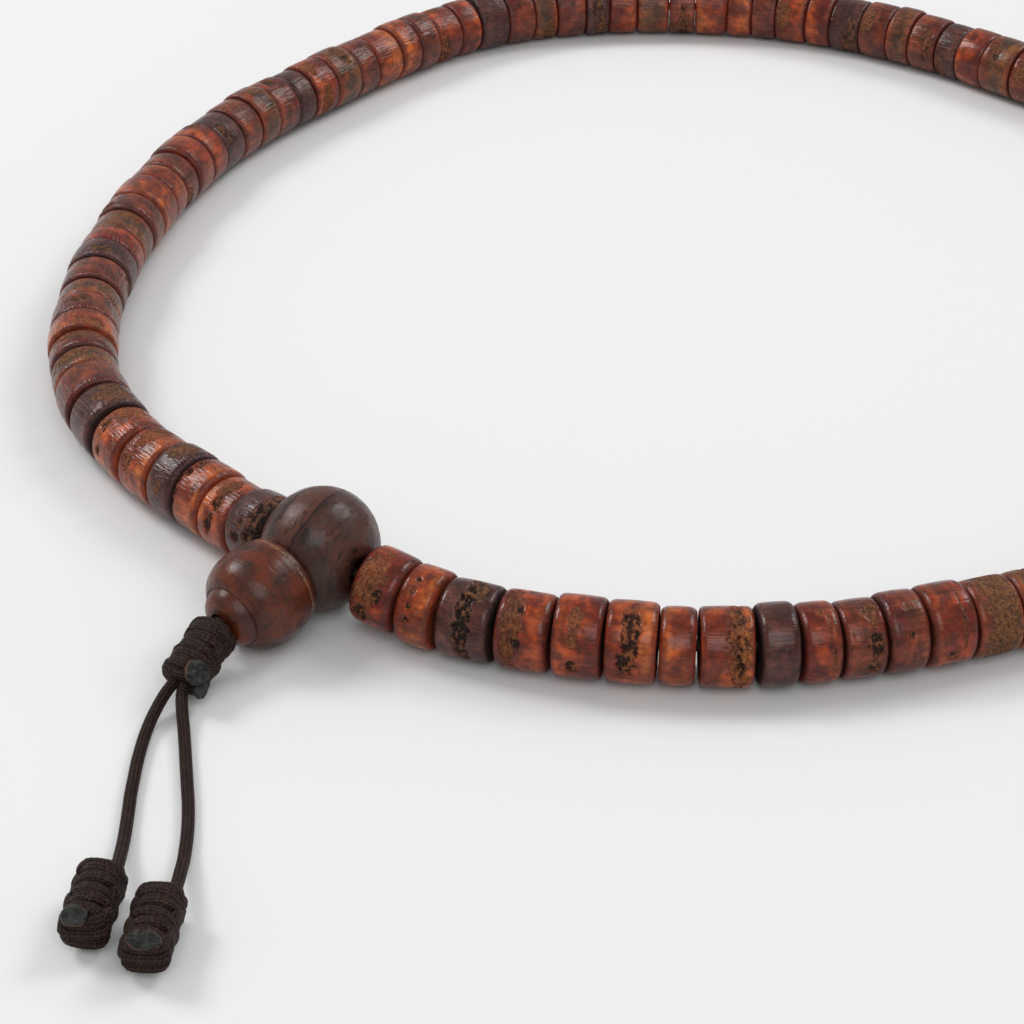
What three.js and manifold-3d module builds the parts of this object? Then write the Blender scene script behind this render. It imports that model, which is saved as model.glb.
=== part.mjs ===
// A string of 108 prayer beads with a guru bead, a tower bead, a braided knot and two tail cords.
// Millimetres, +Z up.  The loop lies flat on the ground at z = 0 and surrounds the origin;
// the guru bead is at the front left, and the tails run from it towards -Y.

import * as THREE from 'three';
import * as BufferGeometryUtils from 'three/addons/utils/BufferGeometryUtils.js';
import Module from 'manifold-3d';

const wasm = await Module();
wasm.setup();

// ---------------------------------------------------------------- driving dimensions

const CLEARANCE = 0.3;                 // gap between neighbouring solids

const BEAD_COUNT = 108;
const BEAD_RADIUS = 5;
const BEAD_RADIUS_SPREAD = 0.03;       // share by which the turned beads differ
const RADIUS_WAVE_STEP = 1.7;          // how the share runs from bead to bead
const RADIUS_WAVE_START = 0.5;
const BEAD_SIDES = 12;
const BEAD_RIM = 0.8;                  // rounding of a bead's two rims
const BEAD_BORE_RADIUS = 1.3;
const BEAD_TILT_SHARE = 0.6;           // how far a lifted bead follows the slope of its cord

// Centre-to-centre room of the first beads on each side of the guru bead, then the rest by rule.
const RIGHT_PITCHES = [6.0, 5.0, 7.2, 6.9, 6.2, 6.4, 4.7, 6.8, 5.0, 4.9, 5.4, 5.2, 6.0, 6.1, 5.6];
const LEFT_PITCHES = [6.1, 6.0, 5.4, 5.2, 6.4, 7.2, 6.8, 6.6, 5.3, 4.8, 5.4, 5.7, 4.9, 6.2, 5.3, 5.0, 6.0];

// Waves by which the other beads' rooms differ: [share of the mean room, step from bead to bead].
const ROOM_WAVES = [[0.13, 2.4], [0.07, 5.3]];

const SINGLE_BEADS_RIGHT = 15;         // beads that turn by themselves, counted from the guru bead
const SINGLE_BEADS_LEFT = 22;
const RUN_LENGTH = 6;                  // beads in one joined run of the far strand
const RUN_END_INSET = 0.25;            // extra room where two runs meet at an angle
const RUN_BORE_RINGS = 3;              // stretches of the bore in one run

const CORD_RADIUS = 0.75;
const CORD_SIDES = 8;
const CORD_STEPS = 80;
const CORD_END_GAP = 1.5;              // the strand's cord stops this far from the guru bead's centre
const ROUTE_SAMPLES = 3000;            // samples that a route's length is measured with
const SLOPE_SPAN = 0.1;                // half the stretch that the cord's slope is read over

const GURU_RADIUS = 8.1;
const GURU_HALF_LENGTH = 7.35;         // along the strand
const GURU_BORE_DROP = 0.9;            // the stringing hole lies this far below the middle
const GURU_BORE_RADIUS = 1.7;
const GURU_SIDES = 20;
const GURU_BANDS = 10;
const BORE_SIDES = 16;
const BORE_OVERRUN = 2;                // how far a drill reaches out of the guru bead
const WELD_DISTANCE = 1e-4;

const LIFT_START = 2;                  // distances from the guru bead between which the strand
const LIFT_END = 17;                   // comes down from the guru bead's hole to its own height

const TOWER_RADIUS = 6.5;
const TOWER_CENTRE = 11.6;             // from the guru bead's centre, along the pendant
const TOWER_FRONT = 17.4;
const TOWER_BORE_RADIUS = 1.6;
const TOWER_SIDES = 16;
const TOWER_DISH_RADII = [3.6, 5.2];   // rings of the dished back

// Outside of the tower bead as [radius, distance from the guru bead's centre]: the back ring,
// the waist with its widest band, the shoulder, the front ring and the little dome.
const TOWER_OUTSIDE = [
  [5.8, 6.9], [6.1, 8.2], [TOWER_RADIUS, 10.2], [TOWER_RADIUS, 12.2], [5.9, 14.2],
  [4.7, 15.6], [4.0, 15.6], [3.4, 16.8], [2.4, TOWER_FRONT],
];

const PENDANT_CORD_RADIUS = 1.2;
const PENDANT_CORD_START = 2.2;        // from the guru bead's centre
const PENDANT_CORD_STEPS = 4;

const KNOT_STANDOFF = 1.1;             // from the tower bead's front to the knot
const KNOT_RADIUS = 3.0;
const KNOT_SIDES = 12;
const KNOT_TURNS = 5;
const TURN_VALLEY = 0.93;              // radius between two turns, as a share of the knot's
const KNOT_END_SHARE = 0.7;            // radius of a knot's end face, as a share of the knot's
const KNOT_END_ROUNDING = 0.8;
const END_KNOT_RADIUS = 3.1;
const END_KNOT_LENGTH = 9.6;

// Melted cord ends on the knot: share of the knot's length, direction away from it, radius.
const UPPER_TIP = { share: 0.68, outward: [0.65, -0.56, 0.51], radius: 1.5 };
const LOWER_TIP = { share: 0.8, outward: [0.86, -0.3, -0.3], radius: 1.1 };
const TIP_STANDOFF = 0.6;
const TIP_OUTLINE = [[0, 0], [0.8, 0], [1, 0.5], [0.75, 1.1], [0, 1.3]];   // [share of the radius, height]

const TAIL_STEPS = 14;

// ---------------------------------------------------------------- routes, in the ground plane

const GURU_PLACE = [-56.8, -84.7];

// Centre line of the closed loop, from the guru bead to the right and once round.
const LOOP_ROUTE = [
  GURU_PLACE, [-44.3, -92.5], [-32.3, -97.3], [-18.8, -100.1], [-4, -101], [11.1, -98.7],
  [27.2, -94], [45.2, -86.8], [64.2, -75.8], [80.2, -59.3], [91.2, -38.3], [95.7, -14.3],
  [93.7, 10.7], [85.7, 34.7], [73.6, 54.7], [59, 71], [42.5, 86.5], [21.7, 98.5],
  [-0.9, 103.1], [-22.3, 101.7], [-39.8, 94.7], [-53.3, 82.7], [-66.3, 67.2], [-79.3, 49.2],
  [-88.4, 28.7], [-94.2, 4.2], [-95.7, -19.8], [-92.3, -40.3], [-83.3, -56.8], [-70.6, -70.4],
];

const PENDANT_HEADING = [-0.655, -0.756];       // from the guru bead to the tower bead
const KNOT_END = new THREE.Vector3(-72.3, -105.2, 2.7);

const LEFT_TAIL_ROUTE = [
  [-73.9, -106.6, 2.4], [-74.7, -108.2, 1.7], [-75.4, -110.4, 1.1], [-75.8, -112.8, 0.82],
  [-76.0, -115.4, 0.76], [-76.1, -118.0, 0.76], [-76.1, -120.6, 0.76], [-76.1, -123.2, 0.76],
  [-76.0, -125.8, 0.76], [-75.9, -128.4, 0.78], [-75.8, -130.9, 0.95], [-75.7, -133.3, 1.4],
  [-75.6, -135.4, 2.0], [-75.5, -137.2, 2.6], [-75.5, -138.8, 3.0],
];
const RIGHT_TAIL_ROUTE = [
  [-72.0, -107.2, 2.3], [-71.8, -109.2, 1.6], [-71.4, -111.6, 1.05], [-71.0, -114.2, 0.8],
  [-70.6, -116.9, 0.76], [-70.2, -119.6, 0.76], [-69.8, -122.3, 0.76], [-69.4, -125.0, 0.76],
  [-69.1, -127.7, 0.76], [-68.9, -130.4, 0.78], [-68.8, -133.0, 0.95], [-68.7, -135.5, 1.4],
  [-68.7, -138.0, 2.0], [-68.7, -140.4, 2.6], [-68.8, -142.4, 3.0],
];
const END_KNOT_HEADING = new THREE.Vector3(-0.1, -0.995, 0).normalize();
const LEFT_END_KNOT = new THREE.Vector3(-77.2, -144.2, END_KNOT_RADIUS);
const RIGHT_END_KNOT = new THREE.Vector3(-70.4, -147.8, END_KNOT_RADIUS);

// ---------------------------------------------------------------- materials

const material = (color, roughness) => new THREE.MeshStandardMaterial({ color, roughness, metalness: 0 });
const BONE_COLOURS = [0x8a3a16, 0xb85c22, 0x4a2018, 0x9c4a1c, 0x6e2a18, 0x5a3322];
const GURU_FINISH = material(0x3a2019, 0.45);
const TOWER_FINISH = material(0x5a2416, 0.4);
const CORD_FINISH = material(0x2a1812, 0.85);
const MELTED_FINISH = material(0x23282a, 0.55);

// ---------------------------------------------------------------- helpers

const UP = new THREE.Vector3(0, 0, 1);

function addMesh(parent, name, geometry, finish) {
  const mesh = new THREE.Mesh(geometry, finish);
  mesh.name = name;
  parent.add(mesh);
  return mesh;
}

// Stands a geometry that was turned about Y at `place`, with its Y axis along `axis`
// and its Z axis as near to upright as it can be.
function standAlong(mesh, place, axis) {
  const side = new THREE.Vector3().crossVectors(axis, UP).normalize();
  const upright = new THREE.Vector3().crossVectors(side, axis).normalize();
  mesh.quaternion.setFromRotationMatrix(new THREE.Matrix4().makeBasis(side, axis, upright));
  mesh.position.copy(place);
}

// A turned shape from [radius, height] pairs, with flats instead of edges on its main directions.
// A radius is that of the flats, so a round piece of that radius fits inside.
function turned(profile, sides) {
  const toCorner = 1 / Math.cos(Math.PI / sides);
  const points = profile.map(([radius, height]) => new THREE.Vector2(radius * toCorner, height));
  return new THREE.LatheGeometry(points, sides, Math.PI / sides);
}

function tube(curve, radius, steps) {
  const section = new THREE.Shape();
  for (let i = 0; i < CORD_SIDES; i += 1) {
    const angle = (2 * Math.PI * i) / CORD_SIDES;
    const corner = [radius * Math.cos(angle), radius * Math.sin(angle)];
    if (i === 0) section.moveTo(...corner);
    else section.lineTo(...corner);
  }
  section.closePath();
  return new THREE.ExtrudeGeometry(section, { steps, extrudePath: curve, bevelEnabled: false });
}

function toSolid(geometry) {
  const plain = geometry.clone();
  plain.deleteAttribute('normal');
  plain.deleteAttribute('uv');
  const merged = BufferGeometryUtils.mergeVertices(plain, WELD_DISTANCE);
  return new wasm.Manifold(new wasm.Mesh({
    numProp: 3,
    vertProperties: new Float32Array(merged.attributes.position.array),
    triVerts: new Uint32Array(merged.index.array),
  }));
}

function toGeometry(solid) {
  const mesh = solid.getMesh();
  const geometry = new THREE.BufferGeometry();
  geometry.setAttribute('position', new THREE.BufferAttribute(mesh.vertProperties, 3));
  geometry.setIndex(new THREE.BufferAttribute(mesh.triVerts, 1));
  geometry.computeVertexNormals();
  return geometry;
}

// ---------------------------------------------------------------- the strand

const plan = new THREE.CatmullRomCurve3(
  LOOP_ROUTE.map(([x, y]) => new THREE.Vector3(x, y, 0)), true, 'catmullrom', 0.5,
);
plan.arcLengthDivisions = ROUTE_SAMPLES;
const LOOP_LENGTH = plan.getLength();
const GURU_HOLE_HEIGHT = GURU_RADIUS - GURU_BORE_DROP;

// Extra height of the strand where it climbs to the guru bead's hole, at `distance` along the loop.
function lift(distance) {
  const fromGuru = Math.min(distance, LOOP_LENGTH - distance);
  return (GURU_HOLE_HEIGHT - BEAD_RADIUS) * (1 - THREE.MathUtils.smoothstep(fromGuru, LIFT_START, LIFT_END));
}

function strandPoint(distance) {
  const point = plan.getPointAt(distance / LOOP_LENGTH);
  point.z = BEAD_RADIUS + lift(distance);
  return point;
}

class StrandCurve extends THREE.Curve {
  constructor(first, last) {
    super();
    this.first = first;
    this.last = last;
  }

  getPoint(t, target = new THREE.Vector3()) {
    return target.copy(strandPoint(THREE.MathUtils.lerp(this.first, this.last, t)));
  }
}

function stringingCord() {
  const curve = new StrandCurve(CORD_END_GAP, LOOP_LENGTH - CORD_END_GAP);
  curve.arcLengthDivisions = ROUTE_SAMPLES;
  return tube(curve, CORD_RADIUS, CORD_STEPS);
}

// ---------------------------------------------------------------- where each bead sits

// Room along the strand for each bead, in order from the guru bead to the right.
function beadPitches() {
  const middleCount = BEAD_COUNT - RIGHT_PITCHES.length - LEFT_PITCHES.length;
  const sum = (list) => list.reduce((total, value) => total + value, 0);
  const room = LOOP_LENGTH - 2 * (GURU_HALF_LENGTH + CLEARANCE / 2) - sum(RIGHT_PITCHES) - sum(LEFT_PITCHES);
  const shares = Array.from({ length: middleCount }, (_, i) => (
    1 + sum(ROOM_WAVES.map(([share, step]) => share * Math.sin(step * i)))
  ));
  const middle = shares.map((share) => (share * room) / sum(shares));
  return [...RIGHT_PITCHES, ...middle, ...[...LEFT_PITCHES].reverse()];
}

function beadAxis(distance) {
  const axis = plan.getTangentAt(distance / LOOP_LENGTH);
  const slope = (lift(distance + SLOPE_SPAN) - lift(distance - SLOPE_SPAN)) / (2 * SLOPE_SPAN);
  axis.z = slope * BEAD_TILT_SHARE;
  return axis.normalize();
}

// Every bead's start and end along the strand, radius, axis, length and centre.
function layOutBeads() {
  const beads = [];
  let start = GURU_HALF_LENGTH + CLEARANCE / 2;
  beadPitches().forEach((pitch, i) => {
    const wave = Math.sin(RADIUS_WAVE_STEP * i + RADIUS_WAVE_START);
    const radius = BEAD_RADIUS * (1 + BEAD_RADIUS_SPREAD * wave);
    beads.push({ number: i + 1, start, end: start + pitch, radius, axis: beadAxis(start + pitch / 2) });
    start += pitch;
  });
  const straight = BEAD_RADIUS - BEAD_RIM;
  const gap = (a, b) => CLEARANCE + (a && b ? straight * Math.tan(a.axis.angleTo(b.axis)) : 0);
  beads.forEach((bead, i) => {
    const from = bead.start + gap(beads[i - 1], bead) / 2;
    const to = bead.end - gap(bead, beads[i + 1]) / 2;
    const middle = (from + to) / 2;
    bead.length = to - from;
    bead.centre = strandPoint(middle);
    bead.centre.z = bead.radius + lift(middle);
  });
  return beads;
}

// ---------------------------------------------------------------- beads

function discBead(radius, length) {
  const half = length / 2;
  return turned([
    [BEAD_BORE_RADIUS, -half], [radius - BEAD_RIM, -half], [radius, BEAD_RIM - half],
    [radius, half - BEAD_RIM], [radius - BEAD_RIM, half], [BEAD_BORE_RADIUS, half],
    [BEAD_BORE_RADIUS, -half],
  ], BEAD_SIDES);
}

// One ring of corners round the strand: flats face down and up, as on the single beads.
function ringAt(distance, radius, height) {
  const centre = plan.getPointAt(distance / LOOP_LENGTH);
  const side = new THREE.Vector3().crossVectors(plan.getTangentAt(distance / LOOP_LENGTH), UP).normalize();
  const toCorner = radius / Math.cos(Math.PI / BEAD_SIDES);
  return Array.from({ length: BEAD_SIDES }, (_, i) => {
    const angle = ((i + 0.5) * 2 * Math.PI) / BEAD_SIDES;
    const corner = centre.clone().addScaledVector(side, toCorner * Math.sin(angle));
    corner.z = height + toCorner * Math.cos(angle);
    return corner;
  });
}

// A closed skin over rings of equal size, the last of which joins the first.
function skinRings(rings) {
  const sides = rings[0].length;
  const positions = rings.flat().flatMap((corner) => [corner.x, corner.y, corner.z]);
  const faces = [];
  rings.forEach((_, r) => {
    const here = r * sides;
    const next = ((r + 1) % rings.length) * sides;
    for (let i = 0; i < sides; i += 1) {
      const j = (i + 1) % sides;
      faces.push(here + i, here + j, next + i, here + j, next + j, next + i);
    }
  });
  const geometry = new THREE.BufferGeometry();
  geometry.setAttribute('position', new THREE.Float32BufferAttribute(positions, 3));
  geometry.setIndex(faces);
  geometry.computeVertexNormals();
  return geometry;
}

// Neighbouring beads of the far strand, joined where their faces meet and bored right through.
function beadRun(beads) {
  const last = beads[beads.length - 1];
  const start = beads[0].start + CLEARANCE / 2 + RUN_END_INSET;
  const end = last.end - CLEARANCE / 2 - RUN_END_INSET;
  const outside = beads.flatMap((bead, i) => {
    const from = i === 0 ? start : bead.start;
    const previous = i === 0 ? bead.radius : beads[i - 1].radius;
    const neck = Math.min(bead.radius, previous);
    return [
      ringAt(from, neck - BEAD_RIM, neck),
      ringAt(from + BEAD_RIM, bead.radius, bead.radius),
      ringAt(bead.end - BEAD_RIM, bead.radius, bead.radius),
    ];
  });
  outside.pop();
  outside.push(ringAt(end - BEAD_RIM, last.radius, last.radius));
  outside.push(ringAt(end, last.radius - BEAD_RIM, last.radius));
  const bore = Array.from({ length: RUN_BORE_RINGS + 1 }, (_, i) => (
    ringAt(THREE.MathUtils.lerp(end, start, i / RUN_BORE_RINGS), BEAD_BORE_RADIUS, BEAD_RADIUS)
  ));
  return skinRings([...outside, ...bore]);
}

// ---------------------------------------------------------------- guru bead

const GURU_CENTRE = new THREE.Vector3(...GURU_PLACE, GURU_RADIUS);
const GURU_AXIS = plan.getTangentAt(0);
const PENDANT_AXIS = new THREE.Vector3(
  ...PENDANT_HEADING, (TOWER_RADIUS - GURU_RADIUS) / TOWER_CENTRE,
).normalize();

function rod(from, to, radius) {
  const geometry = new THREE.CylinderGeometry(radius, radius, from.distanceTo(to), BORE_SIDES);
  const middle = from.clone().add(to).multiplyScalar(0.5);
  const along = to.clone().sub(from).normalize();
  const turn = new THREE.Quaternion().setFromUnitVectors(new THREE.Vector3(0, 1, 0), along);
  geometry.applyQuaternion(turn);
  geometry.translate(middle.x, middle.y, middle.z);
  return geometry;
}

// A slightly flattened ball with a hole right through for the strand and a third one for the pendant.
function guruBead() {
  const profile = Array.from({ length: GURU_BANDS + 1 }, (_, i) => {
    const angle = (Math.PI * i) / GURU_BANDS;
    const radius = i === 0 || i === GURU_BANDS ? 0 : GURU_RADIUS * Math.sin(angle);
    return [radius, -GURU_HALF_LENGTH * Math.cos(angle)];
  });
  const ball = new THREE.Mesh(turned(profile, GURU_SIDES));
  standAlong(ball, GURU_CENTRE, GURU_AXIS);
  ball.updateMatrix();
  const body = ball.geometry.applyMatrix4(ball.matrix);
  const holeMiddle = GURU_CENTRE.clone().setZ(GURU_HOLE_HEIGHT);
  const reach = GURU_RADIUS + BORE_OVERRUN;
  const through = rod(
    holeMiddle.clone().addScaledVector(GURU_AXIS, -reach),
    holeMiddle.clone().addScaledVector(GURU_AXIS, reach), GURU_BORE_RADIUS,
  );
  const third = rod(GURU_CENTRE, GURU_CENTRE.clone().addScaledVector(PENDANT_AXIS, reach), GURU_BORE_RADIUS);
  return toGeometry(toSolid(body).subtract(toSolid(through)).subtract(toSolid(third)));
}

// ---------------------------------------------------------------- tower bead and pendant cord

// The dished back follows the guru bead's surface, and the bore runs right through.
function towerBead() {
  const dish = GURU_RADIUS + CLEARANCE;
  const onDish = (radius) => [radius, Math.sqrt(dish * dish - radius * radius)];
  return turned([
    onDish(TOWER_BORE_RADIUS), ...TOWER_DISH_RADII.map(onDish), ...TOWER_OUTSIDE,
    [TOWER_BORE_RADIUS, TOWER_FRONT], onDish(TOWER_BORE_RADIUS),
  ], TOWER_SIDES);
}

function pendantCord() {
  const from = GURU_CENTRE.clone().addScaledVector(PENDANT_AXIS, PENDANT_CORD_START);
  const to = GURU_CENTRE.clone().addScaledVector(PENDANT_AXIS, TOWER_FRONT + CLEARANCE);
  return tube(new THREE.LineCurve3(from, to), PENDANT_CORD_RADIUS, PENDANT_CORD_STEPS);
}

// ---------------------------------------------------------------- braided knots and melted tips

// A stack of rounded turns of cord from y = 0 to y = length.
function braidedBarrel(radius, length) {
  const endRadius = radius * KNOT_END_SHARE;
  const valley = radius * TURN_VALLEY;
  const turnLength = (length - 2 * KNOT_END_ROUNDING) / KNOT_TURNS;
  const profile = [[0, 0], [endRadius, 0]];
  for (let i = 0; i < KNOT_TURNS; i += 1) {
    const start = KNOT_END_ROUNDING + i * turnLength;
    profile.push([valley, start], [radius, start + turnLength / 2]);
  }
  profile.push([valley, length - KNOT_END_ROUNDING], [endRadius, length], [0, length]);
  return turned(profile, KNOT_SIDES);
}

const KNOT_START = GURU_CENTRE.clone().addScaledVector(PENDANT_AXIS, TOWER_FRONT + KNOT_STANDOFF);
const KNOT_AXIS = KNOT_END.clone().sub(KNOT_START).normalize();

// A melted cord end that stands off the knot's side.
function meltedTip({ share, outward, radius }) {
  const foot = KNOT_START.clone().lerp(KNOT_END, share);
  const direction = new THREE.Vector3(...outward);
  const away = direction.addScaledVector(KNOT_AXIS, -direction.dot(KNOT_AXIS)).normalize();
  const start = foot.clone().addScaledVector(away, KNOT_RADIUS + TIP_STANDOFF);
  const outline = TIP_OUTLINE.map(([portion, height]) => [portion * radius, height]);
  const stub = new THREE.Mesh(turned(outline, CORD_SIDES));
  standAlong(stub, start, away);
  stub.updateMatrix();
  return stub.geometry.applyMatrix4(stub.matrix);
}

// ---------------------------------------------------------------- tail cords

function tailCord(route) {
  const curve = new THREE.CatmullRomCurve3(route.map((point) => new THREE.Vector3(...point)));
  return tube(curve, CORD_RADIUS, TAIL_STEPS);
}

// ---------------------------------------------------------------- assembly

const mala = new THREE.Group();

addMesh(mala, 'stringing_cord', stringingCord(), CORD_FINISH);

const beads = layOutBeads();
const beadName = (bead) => `bead_${String(bead.number).padStart(3, '0')}`;
const boneFinish = (index) => material(BONE_COLOURS[index % BONE_COLOURS.length], 0.4);
const isSingle = (bead) => bead.number <= SINGLE_BEADS_RIGHT || bead.number > BEAD_COUNT - SINGLE_BEADS_LEFT;

beads.filter(isSingle).forEach((bead) => {
  const mesh = addMesh(mala, beadName(bead), discBead(bead.radius, bead.length), boneFinish(bead.number));
  standAlong(mesh, bead.centre, bead.axis);
});

const joined = beads.filter((bead) => !isSingle(bead));
for (let i = 0; i < joined.length; i += RUN_LENGTH) {
  const run = joined.slice(i, i + RUN_LENGTH);
  const name = `bead_run_${String(1 + i / RUN_LENGTH).padStart(2, '0')}`;
  addMesh(mala, name, beadRun(run), boneFinish(i / RUN_LENGTH));
}

addMesh(mala, 'guru_bead', guruBead(), GURU_FINISH);
const tower = addMesh(mala, 'tower_bead', towerBead(), TOWER_FINISH);
standAlong(tower, GURU_CENTRE, PENDANT_AXIS);
addMesh(mala, 'pendant_cord', pendantCord(), CORD_FINISH);

const knotBarrel = braidedBarrel(KNOT_RADIUS, KNOT_START.distanceTo(KNOT_END));
const knot = addMesh(mala, 'braided_knot', knotBarrel, CORD_FINISH);
standAlong(knot, KNOT_START, KNOT_AXIS);
addMesh(mala, 'knot_tip_upper', meltedTip(UPPER_TIP), MELTED_FINISH);
addMesh(mala, 'knot_tip_lower', meltedTip(LOWER_TIP), MELTED_FINISH);

[
  ['left', LEFT_TAIL_ROUTE, LEFT_END_KNOT],
  ['right', RIGHT_TAIL_ROUTE, RIGHT_END_KNOT],
].forEach(([side, route, place]) => {
  addMesh(mala, `tail_cord_${side}`, tailCord(route), CORD_FINISH);
  const barrel = braidedBarrel(END_KNOT_RADIUS, END_KNOT_LENGTH);
  const endKnot = addMesh(mala, `end_knot_${side}`, barrel, CORD_FINISH);
  const nearEnd = place.clone().addScaledVector(END_KNOT_HEADING, -END_KNOT_LENGTH / 2);
  standAlong(endKnot, nearEnd, END_KNOT_HEADING);
});

export default mala;
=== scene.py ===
import math

import bmesh
import bpy
from mathutils import Matrix, Vector, noise


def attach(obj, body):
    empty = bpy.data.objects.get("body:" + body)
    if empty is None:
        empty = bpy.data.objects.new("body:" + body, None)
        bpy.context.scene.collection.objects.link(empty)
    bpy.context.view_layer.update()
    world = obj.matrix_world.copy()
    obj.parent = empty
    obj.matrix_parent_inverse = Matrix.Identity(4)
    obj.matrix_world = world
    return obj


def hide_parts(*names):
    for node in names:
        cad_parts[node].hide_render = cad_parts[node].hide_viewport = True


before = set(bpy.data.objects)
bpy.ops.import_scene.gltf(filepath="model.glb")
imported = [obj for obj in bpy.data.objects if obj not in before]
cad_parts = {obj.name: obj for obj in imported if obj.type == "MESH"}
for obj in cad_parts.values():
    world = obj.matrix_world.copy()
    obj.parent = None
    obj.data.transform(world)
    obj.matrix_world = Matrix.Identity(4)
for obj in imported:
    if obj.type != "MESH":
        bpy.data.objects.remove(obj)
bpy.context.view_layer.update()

scene = bpy.context.scene
MM = 0.001


# ------------------------------------------------------------------ the camera
# Someone sits at the table and looks down on the front of the string of beads.
# The guru bead with its tails lies at the left, and the loop runs back to the far side.
camera_data = bpy.data.cameras.new("camera")
camera_data.sensor_width = 36
camera_data.lens = 86.13
camera = bpy.data.objects.new("camera", camera_data)
CAMERA_PITCH = 33.34
camera.location = (-0.0328, -0.3383, 0.18043)
camera.rotation_euler = (math.radians(90 - CAMERA_PITCH), 0, 0)
scene.collection.objects.link(camera)
scene.camera = camera


# ------------------------------------------------------------------ the two tail cords
# Braided nylon cord, dyed dark chocolate, 1.5 mm thick.  Both ends of the cord leave the
# braided knot, lie loose on the table and end inside a stubby end knot.
CORD_RADIUS = 0.72
TAIL_SIDES = 32
TAIL_STEP = 0.15
PLAITS = 5                  # plaits of the braid, counted once round the cord
BRAID_RELIEF = 0.07         # how far a plait stands out, as a share of the radius
ROUTE_PARTS = 24            # short stretches of a curve between two given points
TAIL_ROUTES = {
    "left": [
        (-72.4, -104.3, 3.3), (-73.1, -105.5, 2.95), (-73.9, -106.6, 2.4),
        (-74.7, -108.2, 1.7), (-75.4, -110.4, 1.1),
        (-75.8, -112.8, 0.82), (-76.0, -115.4, 0.76), (-76.1, -118.0, 0.76), (-76.1, -120.6, 0.76),
        (-76.1, -123.2, 0.76), (-76.0, -125.8, 0.76), (-75.9, -128.4, 0.78), (-75.8, -130.9, 0.95),
        (-75.7, -133.3, 1.4), (-75.6, -135.4, 2.0), (-75.5, -137.2, 2.6), (-75.5, -138.8, 3.0),
        (-75.9, -141.0, 3.1), (-76.6, -143.6, 3.1), (-77.2, -146.4, 3.1),
    ],
    "right": [
        (-71.5, -104.7, 3.2), (-71.8, -106.0, 2.85), (-72.0, -107.2, 2.3),
        (-71.8, -109.2, 1.6), (-71.4, -111.6, 1.05),
        (-71.0, -114.2, 0.8), (-70.6, -116.9, 0.76), (-70.2, -119.6, 0.76), (-69.8, -122.3, 0.76),
        (-69.4, -125.0, 0.76), (-69.1, -127.7, 0.76), (-68.9, -130.4, 0.78), (-68.8, -133.0, 0.95),
        (-68.7, -135.5, 1.4), (-68.7, -138.0, 2.0), (-68.7, -140.4, 2.6), (-68.8, -142.4, 3.0),
        (-69.2, -144.8, 3.1), (-69.9, -147.4, 3.1), (-70.5, -150.2, 3.1),
    ],
}


def smooth_route(points, spacing, closed=False):
    """Evenly spaced points, in millimetres, on the smooth curve through the given ones."""
    points = [Vector(p) for p in points]
    count = len(points)
    spans = count if closed else count - 1

    def corner(i):
        if closed:
            return points[i % count]
        if i < 0:
            return points[0] * 2 - points[1]
        if i >= count:
            return points[-1] * 2 - points[-2]
        return points[i]

    fine = []
    for i in range(spans):
        a, b, c, d = corner(i - 1), corner(i), corner(i + 1), corner(i + 2)
        for k in range(ROUTE_PARTS):
            t = k / ROUTE_PARTS
            fine.append(0.5 * (b * 2 + (c - a) * t + (a * 2 - b * 5 + c * 4 - d) * t ** 2
                               + (b * 3 - a - c * 3 + d) * t ** 3))
    fine.append(corner(spans).copy())
    lengths = [0.0]
    for a, b in zip(fine, fine[1:]):
        lengths.append(lengths[-1] + (b - a).length)
    steps = max(2, round(lengths[-1] / spacing))
    even = []
    at = 0
    for k in range(steps + 1):
        goal = lengths[-1] * k / steps
        while at < len(fine) - 2 and lengths[at + 1] < goal:
            at += 1
        share = (goal - lengths[at]) / max(lengths[at + 1] - lengths[at], 1e-9)
        even.append(fine[at].lerp(fine[at + 1], min(share, 1.0)))
    return even


def ways_along(points):
    """At each point the way on and two directions across, which turn as little as they can."""
    ways = []
    across = None
    for i in range(len(points)):
        on = (points[min(i + 1, len(points) - 1)] - points[max(i - 1, 0)]).normalized()
        if across is None:
            across = on.orthogonal().normalized()
        across = (across - on * across.dot(on)).normalized()
        ways.append((on, across, on.cross(across)))
    return ways


def swept_cord(points, radius, sides, relief=0.0):
    """A cord through evenly spaced points.  Its attribute holds the place round and along it."""
    rings = len(points)
    bm = bmesh.new()
    bmesh.ops.create_grid(bm, x_segments=rings - 1, y_segments=sides, size=1)
    lay = bm.verts.layers.float_vector.new("lay")
    ways = ways_along(points)
    spacing = (points[1] - points[0]).length
    turns_per_mm = PLAITS / radius
    for vert in bm.verts:
        i = round((vert.co.x + 1) / 2 * (rings - 1))
        j = round((vert.co.y + 1) / 2 * sides) % sides
        angle = 2 * math.pi * j / sides
        along = i * spacing
        to_end = min(i, rings - 1 - i) * spacing
        taper = math.sqrt(max(0.0, 1 - (1 - min(to_end / radius, 1.0)) ** 2))
        woven = math.sin(PLAITS * angle + turns_per_mm * along)
        woven *= math.sin(PLAITS * angle - turns_per_mm * along)
        reach = radius * max(taper, 0.05) * (1 + relief * woven)
        _, across, over = ways[i]
        spot = points[i] + across * (reach * math.cos(angle)) + over * (reach * math.sin(angle))
        vert.co = spot * MM
        vert[lay] = (math.cos(angle), math.sin(angle), along)
    bmesh.ops.remove_doubles(bm, verts=bm.verts, dist=1e-7)
    bmesh.ops.holes_fill(bm, edges=[e for e in bm.edges if e.is_boundary], sides=sides)
    bmesh.ops.recalc_face_normals(bm, faces=bm.faces)
    return bm


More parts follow.
